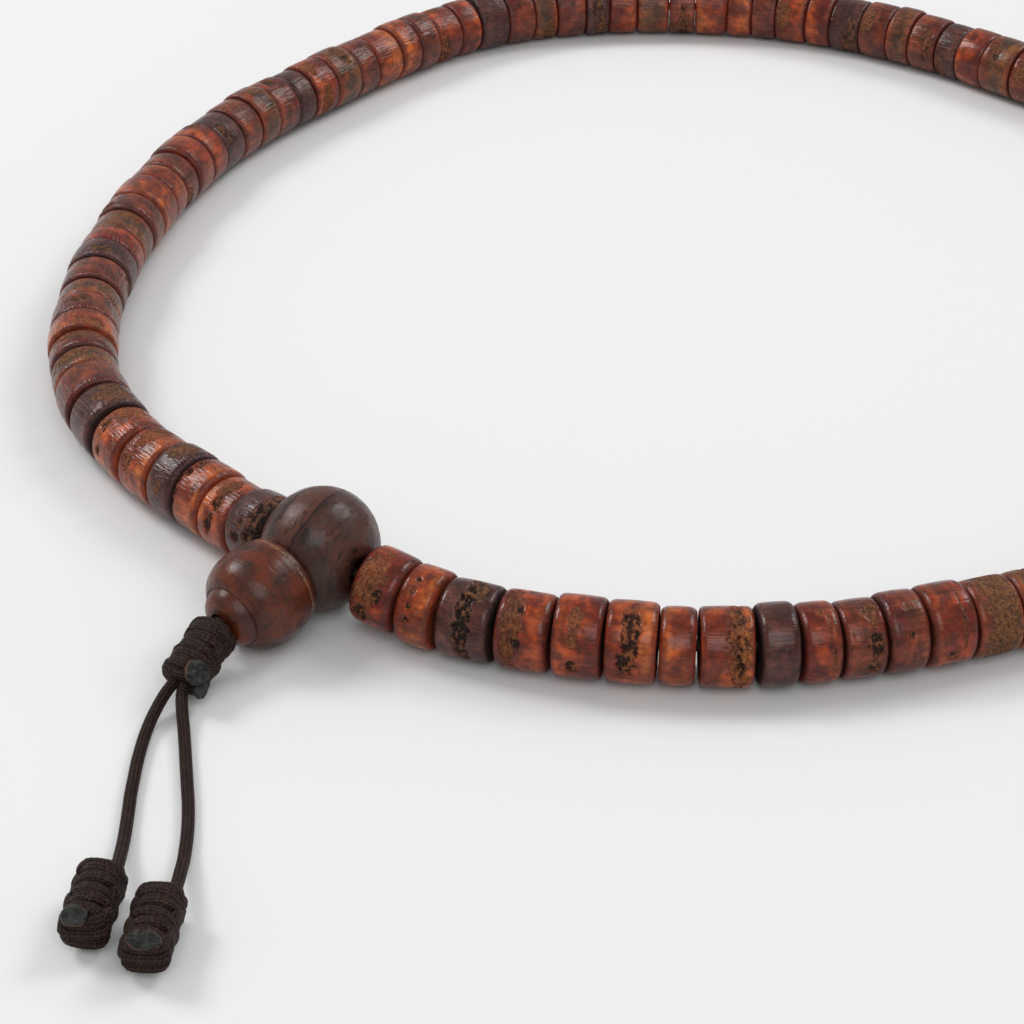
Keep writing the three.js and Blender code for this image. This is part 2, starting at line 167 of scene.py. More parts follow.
def finished(name, bm, material):
    """The shape as an object of its own, smooth and in one material."""
    mesh = bpy.data.meshes.new(name)
    bm.to_mesh(mesh)
    bm.free()
    mesh.shade_smooth()
    mesh.materials.append(material)
    piece = bpy.data.objects.new(name, mesh)
    scene.collection.objects.link(piece)
    return piece


def set_sockets(tree, made, values):
    """Gives a node's sockets values of their own, or links from other nodes' outputs."""
    for key, value in values.items():
        if isinstance(value, bpy.types.NodeSocket):
            tree.links.new(value, made.inputs[key])
        else:
            made.inputs[key].default_value = value


def put(tree, kind, values=None, **settings):
    """A new node with its settings, and values or other nodes' outputs on its sockets."""
    made = tree.nodes.new(kind)
    for key, value in settings.items():
        setattr(made, key, value)
    set_sockets(tree, made, values or {})
    return made


def attribute(tree, name, output="Vector"):
    return put(tree, "ShaderNodeAttribute", attribute_name=name).outputs[output]


def maths(tree, operation, first, second=0.0):
    return put(tree, "ShaderNodeMath", {0: first, 1: second}, operation=operation).outputs[0]


def times(tree, first, second):
    return maths(tree, "MULTIPLY", first, second)


def blend_node(tree, share, first, second, how="MIX"):
    return put(tree, "ShaderNodeMix", {0: share, 6: first, 7: second},
               data_type="RGBA", blend_type=how).outputs[2]


def ramp_node(tree, value, low, high, to_low=0.0, to_high=1.0):
    return put(tree, "ShaderNodeMapRange", {
        "Value": value, "From Min": low, "From Max": high, "To Min": to_low, "To Max": to_high,
    }, interpolation_type="SMOOTHSTEP").outputs[0]


def grain_node(tree, vector, scale, detail=2.0, roughness=0.5):
    return put(tree, "ShaderNodeTexNoise", {
        "Vector": vector, "Scale": scale, "Detail": detail, "Roughness": roughness,
    }).outputs[0]


def stretched(tree, vector, x, y, z):
    return put(tree, "ShaderNodeMapping", {"Vector": vector, "Scale": (x, y, z)}).outputs[0]


def new_group(name, inputs, outputs):
    """An empty shader group with named sockets.  Returns its tree, inlet and outlet."""
    tree = bpy.data.node_groups.new(name, "ShaderNodeTree")
    for label, kind in inputs:
        tree.interface.new_socket(label, in_out="INPUT", socket_type="NodeSocket" + kind)
    for label, kind in outputs:
        tree.interface.new_socket(label, in_out="OUTPUT", socket_type="NodeSocket" + kind)
    return tree, tree.nodes.new("NodeGroupInput"), tree.nodes.new("NodeGroupOutput")


def use_group(tree, group, values):
    return put(tree, "ShaderNodeGroup", values, node_tree=group)


def new_material(name):
    material = bpy.data.materials.new(name)
    material.use_nodes = True
    tree = material.node_tree
    return material, tree, tree.nodes["Principled BSDF"]


def paint(red, green, blue):
    """A colour as seen, from 0 to 255, for a material."""
    def straight(value):
        value /= 255
        return value / 12.92 if value <= 0.04045 else ((value + 0.055) / 1.055) ** 2.4
    return (straight(red), straight(green), straight(blue), 1.0)


def finish_surface(tree, shader, colour, roughness, shine, relief):
    """Sets what a surface shows.  Its relief is a height, the depth of that and its strength."""
    height, depth, strength = relief
    bump = put(tree, "ShaderNodeBump", {"Height": height, "Distance": depth, "Strength": strength})
    set_sockets(tree, shader, {
        "Base Color": colour, "Roughness": roughness, "Specular IOR Level": shine,
        "Normal": bump.outputs[0],
    })


# The braid: two sets of plaits wind against each other, each with fine filaments in it.
tree, inlet, outlet = new_group(
    "cord braid",
    [("Lay", "Vector"), ("Plaits", "Float"), ("Slope", "Float")],
    [("Height", "Float"), ("Lit", "Float"), ("Filament", "Float")],
)
parts = put(tree, "ShaderNodeSeparateXYZ", {0: inlet.outputs["Lay"]})
round_it = maths(tree, "ARCTAN2", parts.outputs[1], parts.outputs[0])
round_it = times(tree, round_it, inlet.outputs["Plaits"])
along_it = times(tree, parts.outputs[2], inlet.outputs["Slope"])
slack_place = stretched(tree, inlet.outputs["Lay"], 1.3, 1.3, 1.1)
slack = grain_node(tree, slack_place, 1.0, 2.0)
along_it = maths(tree, "ADD", along_it, times(tree, slack, 10.0))
one_way = maths(tree, "SINE", maths(tree, "ADD", round_it, along_it))
other_way = maths(tree, "SINE", maths(tree, "SUBTRACT", round_it, along_it))
crossing = times(tree, one_way, other_way)
filament_place = stretched(tree, inlet.outputs["Lay"], 9, 9, 14)
filament_grain = grain_node(tree, filament_place, 1.0, 3.0, 0.7)
tree.links.new(ramp_node(tree, crossing, -1.0, 0.6), outlet.inputs["Height"])
lit = times(tree, ramp_node(tree, crossing, -0.6, 0.8), ramp_node(tree, filament_grain, 0.35, 0.7))
tree.links.new(lit, outlet.inputs["Lit"])
tree.links.new(filament_grain, outlet.inputs["Filament"])
braid_group = tree

CORD_SHADE = paint(15, 8, 6)
CORD_LIT = paint(86, 54, 44)
CORD_GLINT = paint(158, 120, 106)

cord_material, tree, shader = new_material("braided nylon")
lay_of_cord = attribute(tree, "lay")
braid = use_group(tree, braid_group, {
    "Lay": lay_of_cord, "Plaits": PLAITS, "Slope": PLAITS / CORD_RADIUS,
})
object_place = put(tree, "ShaderNodeTexCoord").outputs["Object"]
# Painted shade between the plaits and painted light on them, then pale painted glints on the filaments,
# only in patches picked by a coarse noise.
wear_and_glint_patches = grain_node(tree, object_place, 700.0, 2.0)
cord_colour = blend_node(tree, braid.outputs["Lit"], CORD_SHADE, CORD_LIT)
glint = times(tree, ramp_node(tree, braid.outputs["Filament"], 0.56, 0.74),
              ramp_node(tree, wear_and_glint_patches, 0.45, 0.7))
cord_colour = blend_node(tree, glint, cord_colour, CORD_GLINT)
height = maths(tree, "ADD", braid.outputs["Height"], times(tree, braid.outputs["Filament"], 0.5))
finish_surface(tree, shader, cord_colour, 0.6, 0.18, (height, 0.14 * MM, 0.9))

tail_cords = {}
for side, route in TAIL_ROUTES.items():
    line = smooth_route(route, TAIL_STEP)
    cord = finished(f"tail_cord_{side}_braid", swept_cord(line, CORD_RADIUS, TAIL_SIDES, BRAID_RELIEF),
                    cord_material)
    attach(cord, f"tail_{side}")
    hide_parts(f"tail_cord_{side}")
    tail_cords[side] = (cord, line)


# ------------------------------------------------------------------ the end knots on the tails
# Each tail ends in a stubby square knot: two working lengths of the cord cross to and fro in
# front of and behind a core of the same cord, and the last turns are laid over both ends.
END_KNOT_RADIUS = 3.1
END_KNOT_LENGTH = 10.9
END_KNOT_PITCH = 1.5        # from one row of the knot to the next
END_KNOT_FLATNESS = 0.94    # thickness over width
END_KNOT_HEADING = Vector((-0.1, -0.995, 0)).normalized()
END_KNOTS = {
    "left": Vector((-77.2, -144.2, END_KNOT_RADIUS)),
    "right": Vector((-70.4, -147.8, END_KNOT_RADIUS)),
}
WORKING_RADIUS = 0.8        # radius of a working length, pulled tight
WORKING_SIDES = 20
WORKING_STEP = 0.2
ROW_POINTS = 16             # points laid down for each row of the knot
EDGE_HURRY = 0.8            # how much faster a cord moves on while it turns back at an edge
EDGE_DIP = 1.45             # how far a cord crosses to the other side at an edge
KNOT_SHAKE = 0.16           # how unevenly the rows lie
CAP_SPACING = 1.35          # between the three turns laid over an end
CAP_TAPER = 0.25            # how much narrower the outer two are
CAP_DOME = 0.5
CAP_BEVEL = 0.12
CAP_REACH = math.radians(105)
CORE_SIDES = 24
CORE_PLACES = (-0.5, 0.5)   # two core cords, as shares of the half width
CORE_INSET = 0.5            # how much thinner a core is than the knot inside its turns
SQUEEZE = 0.4               # share left of what stands out past the tight barrel
TIGHT_SHARE = 0.6           # share of a turn's radius that lies inside the tight barrel
TIGHT_END = 0.5             # and how far the barrel's ends lie inside the knot's
UP = Vector((0, 0, 1))


def place_along(place, axis):
    """Stands a shape made round its own Y axis at a place, along an axis, Z as upright as can be."""
    axis = axis.normalized()
    side = axis.cross(UP).normalized()
    upright = side.cross(axis).normalized()
    turn = Matrix((side, axis, upright)).transposed().to_4x4()
    return Matrix.Translation(place * MM) @ turn


def crossing_line(half_width, half_depth, length, pitch, side, seed):
    """One working cord of a square knot.  It crosses to and fro on its side of the core."""
    run = length - 2 * WORKING_RADIUS - pitch
    rows = max(2, round(run / pitch))
    line = []
    for k in range(rows * ROW_POINTS + 1):
        row = k / ROW_POINTS
        swing = math.cos(math.pi * row)
        shake = noise.noise(Vector((row * 1.3, seed, side)))
        slack = noise.noise(Vector((row * 1.1, seed + 7, side)))
        moved_on = row + EDGE_HURRY * math.sin(2 * math.pi * row) / (2 * math.pi)
        x = side * half_width * swing + KNOT_SHAKE * shake
        y = run * (moved_on / rows - 0.5) + KNOT_SHAKE * slack
        z = side * half_depth * (1 - EDGE_DIP * abs(swing) ** 3) + KNOT_SHAKE * shake
        line.append(Vector((x, y, z)))
    return line


def cap_line(half_width, half_depth, length, end, z, seed):
    """A turn laid over one end of a knot, from side to side."""
    line = []
    width = half_width * math.sqrt(1 - CAP_TAPER * (z / half_depth) ** 2)
    lean = 0.5 * noise.noise(Vector((z * 3, seed, end)))
    for k in range(ROW_POINTS + 1):
        angle = CAP_REACH * (2 * k / ROW_POINTS - 1)
        sink = CAP_DOME * width * (1 - math.cos(angle)) + CAP_BEVEL * z * z
        y = end * (length / 2 - WORKING_RADIUS - sink)
        line.append(Vector((width * math.sin(angle), y, z + lean * math.sin(angle))))
    return line


def square_knot(name, place, axis, radius, flatness, length, pitch, seed, body):
    """A closed knot round its own Y axis.  Its flatness is its thickness over its width."""
    half_width = radius - WORKING_RADIUS
    half_depth = radius * flatness - WORKING_RADIUS
    lines = [crossing_line(half_width, half_depth, length, pitch, side, seed) for side in (1, -1)]
    for end in (1, -1):
        for z in (-CAP_SPACING, 0, CAP_SPACING):
            lines.append(cap_line(half_width, half_depth, length, end, z, seed))
    parts = []
    for line in lines:
        route = smooth_route(line, WORKING_STEP)
        parts.append(swept_cord(route, WORKING_RADIUS, WORKING_SIDES, BRAID_RELIEF))
    core_half = length / 2 - 2 * WORKING_RADIUS
    core_line = smooth_route([(0, -core_half, 0), (0, 0, 0), (0, core_half, 0)], WORKING_STEP)
    for x in CORE_PLACES:
        core = swept_cord(core_line, half_depth - CORE_INSET, CORE_SIDES)
        bmesh.ops.translate(core, vec=(x * half_width * MM, 0, 0), verts=core.verts)
        parts.append(core)
    bm = bmesh.new()
    for part in parts:
        loose = bpy.data.meshes.new("strand")
        part.to_mesh(loose)
        part.free()
        bm.from_mesh(loose)
        bpy.data.meshes.remove(loose)
    kept = WORKING_RADIUS * TIGHT_SHARE
    tight = Vector((half_width + kept, length / 2 - TIGHT_END, half_depth + kept)) * MM
    for vert in bm.verts:
        reach = math.hypot(vert.co.x / tight.x, vert.co.z / tight.z)
        if reach > 1:
            pulled = (1 + (reach - 1) * SQUEEZE) / reach
            vert.co.x *= pulled
            vert.co.z *= pulled
        past = abs(vert.co.y) - tight.y
        if past > 0:
            vert.co.y = math.copysign(tight.y + past * SQUEEZE, vert.co.y)
    bmesh.ops.transform(bm, matrix=place_along(place, axis), verts=bm.verts)
    knot = finished(name, bm, cord_material)
    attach(knot, body)
    return knot


MELT_GREEN = paint(50, 52, 47)
MELT_BLACK = paint(22, 20, 18)
MELT_RIM = paint(88, 58, 38)

melt_material, tree, shader = new_material("melted nylon")
spot = attribute(tree, "spot")
object_place = put(tree, "ShaderNodeTexCoord").outputs["Object"]
wrinkle = grain_node(tree, object_place, 900.0, 4.0, 0.65)
cloud = grain_node(tree, object_place, 420.0, 2.0)
melt_colour = blend_node(tree, ramp_node(tree, wrinkle, 0.38, 0.62), MELT_BLACK, MELT_GREEN)
from_middle = put(tree, "ShaderNodeVectorMath", {0: spot}, operation="LENGTH").outputs["Value"]
rim_share = times(tree, ramp_node(tree, from_middle, 0.92, 1.0), ramp_node(tree, cloud, 0.38, 0.6))
melt_colour = blend_node(tree, rim_share, melt_colour, MELT_RIM)
melt_roughness = ramp_node(tree, cloud, 0.3, 0.7, 0.36, 0.6)
finish_surface(tree, shader, melt_colour, melt_roughness, 0.25, (wrinkle, 0.12 * MM, 0.6))


def melted_blob(name, place, outward, width, depth, thickness, seed, body):
    """A cord end melted into a wrinkled button that faces outward.  Sizes are radii."""
    bm = bmesh.new()
    spot_layer = bm.verts.layers.float_vector.new("spot")
    bmesh.ops.create_icosphere(bm, subdivisions=5, radius=1)
    for vert in bm.verts:
        ball = vert.co.copy()
        vert[spot_layer] = (ball.x, 0, ball.z)
        lump = noise.noise(ball * 1.6 + Vector((seed, 0, 0)))
        fold = noise.noise(ball * 4.2 + Vector((0, seed, 0)))
        crease = abs(noise.noise(ball * 3.1 + Vector((0, 0, seed))))
        swell = 1 + 0.12 * lump + 0.05 * fold
        flat = math.copysign(abs(ball.y) ** 0.8, ball.y)
        dent = 0.35 * crease + 0.22 * max(0.0, 1 - (ball.x ** 2 + ball.z ** 2) * 2)
        y = thickness * (flat - (dent if ball.y > 0 else 0) + 0.12 * fold)
        vert.co = Vector((width * ball.x * swell, y, depth * ball.z * swell)) * MM
    bmesh.ops.transform(bm, matrix=place_along(place, outward), verts=bm.verts)
    blob = finished(name, bm, melt_material)
    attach(blob, body)
    return blob


MELT_THICKNESS = 0.6
MELT_LIFT = 2.25            # above the middle of the knot
# Each melted end: its shift across the knot, its half width, half height and how far along.
END_MELTS = {"left": (-0.7, 1.45, 1.15, 4.4), "right": (0.2, 1.9, 1.1, 4.4)}
MELT_FACING = (END_KNOT_HEADING * 0.62 + UP * 0.78).normalized()
for side, place in END_KNOTS.items():
    seed = 3.3 if side == "left" else 11.9
    knot = square_knot(f"end_knot_{side}_turns", place, END_KNOT_HEADING, END_KNOT_RADIUS,
                       END_KNOT_FLATNESS, END_KNOT_LENGTH, END_KNOT_PITCH, seed, f"tail_{side}")
    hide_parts(f"end_knot_{side}")
    shift, width, depth, on = END_MELTS[side]
    spot = place + END_KNOT_HEADING * on + UP * MELT_LIFT + Vector((shift, 0, 0))
    melted = melted_blob(f"end_knot_{side}_melted_end", spot, MELT_FACING, width, depth,
                         MELT_THICKNESS, seed, f"tail_{side}")
    cord, line = tail_cords[side]


# ------------------------------------------------------------------ the stringing cord
# The same cord runs hidden through every bead.  It shows only in the narrow gaps between
# beads, and a doubled length of it comes out of the guru bead and through the tower bead.
hidden_cord, tree, shader = new_material("stringing cord")
object_place = put(tree, "ShaderNodeTexCoord").outputs["Object"]
slanted = put(tree, "ShaderNodeMapping", {
    "Vector": object_place, "Rotation": (0.6, 0.4, 0.8), "Scale": (1900, 1900, 1900),
}).outputs[0]
plait_waves = put(tree, "ShaderNodeTexWave", {
    "Vector": slanted, "Scale": 0.5, "Distortion": 1.5, "Detail": 2.0,
}, wave_type="BANDS").outputs[1]
thread = grain_node(tree, object_place, 4500.0, 2.0)
inside_colour = blend_node(tree, plait_waves, CORD_SHADE, CORD_LIT)
inside_colour = blend_node(tree, ramp_node(tree, thread, 0.6, 0.8), inside_colour, CORD_GLINT)
finish_surface(tree, shader, inside_colour, 0.6, 0.5, (plait_waves, 0.08 * MM, 0.6))
for name in ("stringing_cord", "pendant_cord"):
    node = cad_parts[name]
    node.data.materials.clear()
    node.data.materials.append(hidden_cord)


# ------------------------------------------------------------------ the disc beads
# 108 discs sawn and turned from bone, boiled in dye so that the dense bone is glossy amber,
# red brown or plum and the spongy bone is dark, rough and pitted.  The cord holds them all.
BEAD_COUNT = 108
FINE_STEP = 0.2              # spacing of points on the beads next to the guru bead
FAR_STEP = 0.32              # and on the beads of the far side
BEAD_RADIUS = 5.0
BEAD_RADIUS_SPREAD = 0.03    # share by which the turned beads differ
BEAD_BORE_RADIUS = 1.3
BEAD_RIM = 0.8
BEAD_TILT_SHARE = 0.6        # how far a bead tilts with the climb to the guru bead
CLEARANCE = 0.3              # between two beads
NARROWED_GAP = 0.145         # each face of a bead comes this much nearer to the next bead
RIM_ROUNDING = 0.78
RIM_SPREAD = 0.16
FAR_RIM_SHARE = 0.8
BORE_CHAMFER = 0.25
RIM_STEPS = 5                # points on a rounded rim
BELLY = 0.1                  # how much lower the side is at its edges than at its middle
WOBBLE = 0.05                # how far the turned side runs out of true
NICK_DEPTH = 0.06
FACE_WAVE = 0.012            # how uneven the sawn faces are
LEAST_SCRATCHED = 0.4        # drag marks on the smoother first half of the strand
GURU_PLACE = (-56.8, -84.7)
GURU_HALF_LENGTH = 7.35
HOLE_LIFT = 2.2              # the guru bead's hole lies this far above the middle of the strand
LIFT_START = 2.0
LIFT_END = 17.0
RIGHT_PITCHES = [6.0, 5.0, 7.2, 6.9, 6.2, 6.4, 4.7, 6.8, 5.0, 4.9, 5.4, 5.2, 6.0, 6.1, 5.6]
LEFT_PITCHES = [6.1, 6.0, 5.4, 5.2, 6.4, 7.2, 6.8, 6.6, 5.3, 4.8, 5.4, 5.7, 4.9, 6.2, 5.3, 5.0, 6.0]
SINGLE_RIGHT = 15
SINGLE_LEFT = 22
RUN_LENGTH = 6
LOOP_ROUTE = [
    GURU_PLACE, (-44.3, -92.5), (-32.3, -97.3), (-18.8, -100.1), (-4, -101), (11.1, -98.7),
    (27.2, -94), (45.2, -86.8), (64.2, -75.8), (80.2, -59.3), (91.2, -38.3), (95.7, -14.3),
    (93.7, 10.7), (85.7, 34.7), (73.6, 54.7), (59, 71), (42.5, 86.5), (21.7, 98.5),
    (-0.9, 103.1), (-22.3, 101.7), (-39.8, 94.7), (-53.3, 82.7), (-66.3, 67.2), (-79.3, 49.2),
    (-88.4, 28.7), (-94.2, 4.2), (-95.7, -19.8), (-92.3, -40.3), (-83.3, -56.8), (-70.6, -70.4),
]

LOOP_STEP = 0.2
loop_line = smooth_route([(x, y, 0) for x, y in LOOP_ROUTE], LOOP_STEP, closed=True)
loop_step = (loop_line[1] - loop_line[0]).length
LOOP_LENGTH = loop_step * (len(loop_line) - 1)


def loop_point(distance):
    at = min(max(distance / loop_step, 0), len(loop_line) - 1.001)
    return loop_line[int(at)].lerp(loop_line[int(at) + 1], at - int(at))


def lift(distance):
    share = (min(distance, LOOP_LENGTH - distance) - LIFT_START) / (LIFT_END - LIFT_START)
    share = min(max(share, 0), 1)
    return HOLE_LIFT * (1 - share * share * (3 - 2 * share))


def bead_axis(distance):
    axis = (loop_point(distance + 0.3) - loop_point(distance - 0.3)).normalized()
    axis.z = (lift(distance + 0.1) - lift(distance - 0.1)) / 0.2 * BEAD_TILT_SHARE
    return axis.normalized()


middle_count = BEAD_COUNT - len(RIGHT_PITCHES) - len(LEFT_PITCHES)
middle_shares = [1 + 0.13 * math.sin(2.4 * i) + 0.07 * math.sin(5.3 * i) for i in range(middle_count)]
near_room = sum(RIGHT_PITCHES) + sum(LEFT_PITCHES)
middle_room = LOOP_LENGTH - 2 * (GURU_HALF_LENGTH + CLEARANCE / 2) - near_room
middle_pitches = [share * middle_room / sum(middle_shares) for share in middle_shares]
pitches = RIGHT_PITCHES + middle_pitches + LEFT_PITCHES[::-1]

beads = []
start = GURU_HALF_LENGTH + CLEARANCE / 2
for i, pitch in enumerate(pitches):
    beads.append({
        "number": i + 1, "start": start, "end": start + pitch,
        "radius": BEAD_RADIUS * (1 + BEAD_RADIUS_SPREAD * math.sin(1.7 * i + 0.5)),
        "axis": bead_axis(start + pitch / 2),
    })
    start += pitch


def bead_gap(a, b):
    if a is None or b is None:
        return CLEARANCE
    return CLEARANCE + (BEAD_RADIUS - BEAD_RIM) * math.tan(a["axis"].angle(b["axis"]))


for i, bead in enumerate(beads):
    before = beads[i - 1] if i > 0 else None
    after = beads[i + 1] if i + 1 < BEAD_COUNT else None
    first = bead["start"] + bead_gap(before, bead) / 2
    last = bead["end"] - bead_gap(bead, after) / 2
    middle = (first + last) / 2
    bead["half"] = (last - first) / 2 + NARROWED_GAP
    bead["centre"] = loop_point(middle)
    bead["centre"].z = bead["radius"] + lift(middle)

# Dyes: the ground of the polished side, its second tone, its lit tone, the polished rim and
# the sawn faces.
DYES = {
    "amber": (
        paint(164, 76, 28), paint(122, 46, 15), paint(188, 106, 46),
        paint(104, 30, 8), paint(132, 50, 8),
    ),
    "russet": (
        paint(146, 58, 20), paint(106, 34, 12), paint(176, 84, 36),
        paint(92, 22, 8), paint(98, 32, 8),
    ),
    "brown": (
        paint(118, 52, 28), paint(84, 34, 20), paint(142, 70, 42),
        paint(92, 28, 14), paint(72, 20, 8),
    ),
    "plum": (
        paint(84, 44, 38), paint(58, 29, 25), paint(104, 62, 54),
        paint(66, 22, 17), paint(38, 13, 8),
    ),
    "olive": (
        paint(98, 58, 32), paint(70, 44, 28), paint(132, 82, 42),
        paint(126, 54, 24), paint(84, 26, 8),
    ),
}
SLOTS = {"amber": "bone_amber", "russet": "bone_amber", "brown": "bone_brown", "plum": "bone_dark",
         "olive": "bone_dark"}
CLOUD_DARK = (0.55, 0.46, 0.42, 1)     # these two multiply the dye
CLOUD_LIGHT = (1.28, 1.14, 1.0, 1)
PIT_DARK = paint(24, 17, 11)
PIT_BROWN = paint(86, 50, 28)
PIT_TAN = paint(168, 110, 64)
PIT_GOLD = paint(196, 138, 78)

# Spongy patches on the beads next to the guru bead: angle up from the outer side in degrees,
# place along the bead from -1 to 1, half angle, half width, depth in millimetres.
BEAD_NOTES = {
    1: ("russet", [(42, -0.2, 66, 0.7, 0.16), (25, 0.3, 13, 0.24, 0.5), (-10, -0.4, 20, 0.36, 0.5)]),
    2: ("amber", [(12, -0.22, 6, 0.17, 0.5), (33, -0.2, 6, 0.17, 0.5), (54, -0.25, 6, 0.17, 0.5),
                  (73, -0.2, 7, 0.18, 0.5)]),
    3: ("plum", [(36, 0.04, 78, 0.36, 0.7), (-20, 0.1, 16, 0.34, 0.8), (84, 0.3, 26, 0.5, 0.3)]),
    4: ("russet", [(38, -0.34, 80, 0.5, 0.26), (14, -0.1, 12, 0.2, 0.5), (66, -0.2, 14, 0.3, 0.4)]),
    5: ("russet", [(62, -0.1, 20, 0.34, 0.14), (28, -0.1, 12, 0.26, 0.14), (-14, -0.1, 14, 0.3, 0.45)]),
    6: ("amber", [(50, 0.0, 46, 0.46, 0.55), (4, -0.15, 24, 0.44, 0.6), (24, 0.1, 18, 0.36, 0.55)]),
    7: ("amber", []),
    8: ("amber", [(40, 0.42, 96, 0.46, 0.28), (66, 0.34, 7, 0.14, 0.9), (46, 0.42, 9, 0.13, 1.0),
                  (2, 0.45, 18, 0.16, 1.0), (24, 0.42, 8, 0.12, 0.9)]),
    9: ("plum", []),
    10: ("russet", [(62, 0.38, 18, 0.1, 0.16), (10, 0.5, 22, 0.12, 0.3), (84, 0.1, 8, 0.3, 0.14)]),
    11: ("brown", [(80, 0.4, 26, 0.46, 0.25), (24, 0.4, 24, 0.42, 0.5), (-12, 0.3, 16, 0.4, 0.3)]),
    12: ("brown", [(30, 0.0, 6, 0.16, 0.3), (0, 0.1, 5, 0.1, 0.3), (70, 0.1, 7, 0.2, 0.14)]),
    13: ("russet", [(40, 0.35, 60, 0.08, 0.1), (-14, -0.1, 10, 0.3, 0.4)]),
    14: ("olive", [(40, 0.1, 170, 0.85, 0.09)]),
    15: ("olive", [(60, 0.1, 120, 0.8, 0.2)]),
    108: ("plum", [(64, 0.78, 100, 0.42, 0.75), (36, 0.1, 12, 0.22, 0.3), (14, -0.1, 10, 0.3, 0.5)]),
    107: ("amber", [(48, 0.0, 13, 0.3, 0.6), (84, -0.1, 28, 0.4, 0.26), (14, -0.1, 24, 0.28, 0.45)]),
    106: ("amber", [(66, -0.72, 8, 0.32, 1.2), (34, -0.95, 30, 0.3, 0.9), (90, -0.5, 14, 0.24, 0.34),
                    (10, -0.9, 16, 0.3, 0.6)]),
    105: ("plum", [(92, -0.1, 26, 0.8, 0.06), (20, 0.0, 14, 0.3, 0.06)]),
    104: ("amber", [(92, -0.25, 44, 0.5, 0.16), (30, -0.4, 18, 0.36, 0.2)]),
    103: ("amber", [(100, -0.4, 34, 0.5, 0.16), (52, -0.5, 13, 0.3, 0.4), (8, -0.3, 16, 0.14, 0.5)]),
    102: ("plum", [(96, 0.0, 40, 0.8, 0.06)]),
    101: ("brown", []),
    100: ("olive", [(70, -0.2, 50, 0.7, 0.14)]),
    99: ("brown", [(90, -0.3, 60, 0.3, 0.14)]),
    98: ("amber", [(100, 0.5, 30, 0.4, 0.1)]),
}
FAR_DYES = ["brown", "russet", "plum", "amber", "brown", "olive", "russet", "brown", "amber", "plum",
            "russet", "brown", "olive"]


def hump(value, low, high):
    """Runs smoothly from 0 at low to 1 at high."""
    share = min(max((value - low) / (high - low), 0.0), 1.0)
    return share * share * (3 - 2 * share)


def mixed(a, b, share):
    return tuple(x + (y - x) * share for x, y in zip(a, b))


def bead_section(radius, half, bore, rim, fine):
    """Half section of a disc bead, a closed outline of points at [radius, height]."""
    outline = [(bore, -half + BORE_CHAMFER), (bore + BORE_CHAMFER, -half)]
    face_steps = max(3, round((radius - rim - bore) / (2.2 * fine)))
    for k in range(1, face_steps):
        across = (radius - rim - bore - BORE_CHAMFER) * k / face_steps
        outline.append((bore + BORE_CHAMFER + across, -half))
    for k in range(RIM_STEPS):
        angle = math.pi / 2 * k / RIM_STEPS
        outline.append((radius - rim + rim * math.sin(angle), -half + rim - rim * math.cos(angle)))
    side_steps = max(4, round((2 * half - 2 * rim) / fine))
    for k in range(side_steps + 1):
        outline.append((radius, -half + rim + (2 * half - 2 * rim) * k / side_steps))
    mirrored = [(r, -y) for r, y in outline[::-1][side_steps + 1:]]
    return outline + mirrored


def turned_shape(outline, steps):
    """Turns a closed outline of [radius, height] round the Y axis."""
    bm = bmesh.new()
    verts = [bm.verts.new((r, y, 0)) for r, y in outline]
    edges = [bm.edges.new((a, b)) for a, b in zip(verts, verts[1:] + verts[:1])]
    bmesh.ops.spin(bm, geom=verts + edges, cent=(0, 0, 0), axis=(0, 1, 0), angle=2 * math.pi,
                   steps=steps, use_merge=True, use_duplicate=False)
    bmesh.ops.recalc_face_normals(bm, faces=bm.faces)
    return bm


def spongy(place, seed):
    """How open the bone is at a place in millimetres: 1 in a pore, 0 on a strut."""
    spot = Vector((place.x * 1.1 + seed, place.y * 1.9 + 2 * seed, place.z * 1.1))
    craggy = noise.noise(spot) + 0.6 * noise.noise(spot * 2.3) + 0.35 * noise.noise(spot * 4.9)
    return hump(craggy, -0.35, 0.45)


